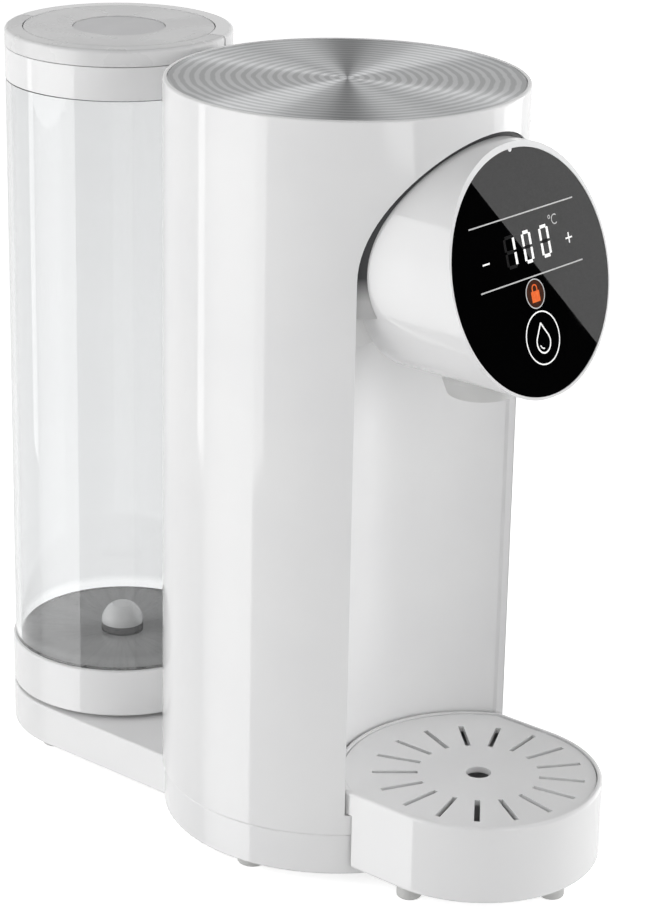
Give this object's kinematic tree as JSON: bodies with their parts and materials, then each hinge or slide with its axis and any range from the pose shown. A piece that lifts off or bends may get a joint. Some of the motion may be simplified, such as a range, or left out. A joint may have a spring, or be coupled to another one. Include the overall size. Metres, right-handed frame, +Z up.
{
  "type": "instant hot water dispenser",
  "caption": "Countertop instant hot water dispenser: round heater column with a cup bay, tilted round touch panel, clear lift-off tank with bail handle, and pull-out drip tray.",
  "frame": {"origin": "on the table, under the middle of the outline seen from above", "axes": "+Z up, -Y towards the front where the cup stands, +Y towards the water tank"},
  "size_m": [0.14, 0.2929, 0.3088],
  "materials": {
    "white_gloss": "moulded gloss white with soft edge highlights",
    "white_inner": "satin inner mouldings",
    "lid_white": "moulded gloss white",
    "inlay_grey": "satin grey inlay",
    "spun_metal": "spun with fine concentric lines",
    "black_glass": "black printed touch glass",
    "clear_tank": "clear moulded plastic",
    "spout_frost": "frosted translucent plastic",
    "rubber": "dark matte rubber",
    "pale_rubber": "pale grey matte rubber",
    "silicone": "milky silicone",
    "steel": "bright steel",
    "motor_metal": "zinc plated can",
    "dark_plastic": "dark heat-proof plastic",
    "pale_plastic": "pale acetal",
    "circuit_board": "green solder mask"
  },
  "bodies": {
    "housing": {"base_pan": "white_inner", "base_cover": "white_gloss", "feet": "pale_rubber", "base_screws": "steel", "main_shell": "white_gloss", "bay_liner": "white_gloss", "head_carrier": "white_inner", "top_cap": "white_inner", "top_disc": "spun_metal", "head_shell": "white_gloss", "head_seal": "rubber", "touch_glass": "black_glass", "display_board": "circuit_board", "spout": "spout_frost", "spout_seal": "rubber", "outlet_hose": "silicone", "heater_tube": "steel", "heater_caps": "dark_plastic", "heater_bracket": "steel", "thermostats": "dark_plastic", "pump_housing": "dark_plastic", "pump_motor": "motor_metal", "inlet_hose": "silicone", "pump_hose": "silicone", "power_board": "circuit_board", "board_rails": "white_inner", "cord_gland": "rubber", "dock_socket": "white_inner", "dock_pin": "steel", "dock_seal": "rubber"},
    "impeller": {"pump_impeller": "pale_plastic"},
    "tank": {"tank_wall": "clear_tank", "tank_collar": "white_gloss", "tank_base_ring": "white_gloss"},
    "lid": {"tank_lid": "lid_white", "lid_inlay": "inlay_grey", "lid_gasket": "rubber"},
    "handle": {"tank_handle": "lid_white", "handle_pins": "steel"},
    "valve": {"valve_poppet": "pale_plastic", "valve_gasket": "rubber", "valve_spring": "steel"},
    "tray": {"drip_tray": "white_gloss", "tray_feet": "pale_rubber"},
    "grate": {"drip_grate": "white_gloss"}
  },
  "joints": [
    {"name": "tank_lift", "type": "slide", "parent": "housing", "child": "tank", "axis": [0, 0, 1], "range_m": [0, 0.15]},
    {"name": "lid_lift", "type": "slide", "parent": "tank", "child": "lid", "axis": [0, 0, 1], "range_m": [0, 0.05]},
    {"name": "handle_swing", "type": "hinge", "parent": "lid", "child": "handle", "pos_m": [0, 0.09865, 0.3077], "axis": [-0.3289, 0.9444, 0], "range_deg": [0, 90]},
    {"name": "valve_slide", "type": "slide", "parent": "tank", "child": "valve", "axis": [0, 0, 1], "range_m": [0, 0.002], "stiffness_N_per_m": 40, "springref_m": -0.003, "deforming": ["valve_spring"]},
    {"name": "tray_slide", "type": "slide", "parent": "housing", "child": "tray", "axis": [0, -1, 0], "range_m": [0, 0.11]},
    {"name": "grate_lift", "type": "slide", "parent": "tray", "child": "grate", "axis": [0, 0, 1], "range_m": [0, 0.04]},
    {"name": "impeller_spin", "type": "hinge", "parent": "housing", "child": "impeller", "pos_m": [0, 0.01425, 0.02], "axis": [0, 0, 1], "continuous": true}
  ]
}
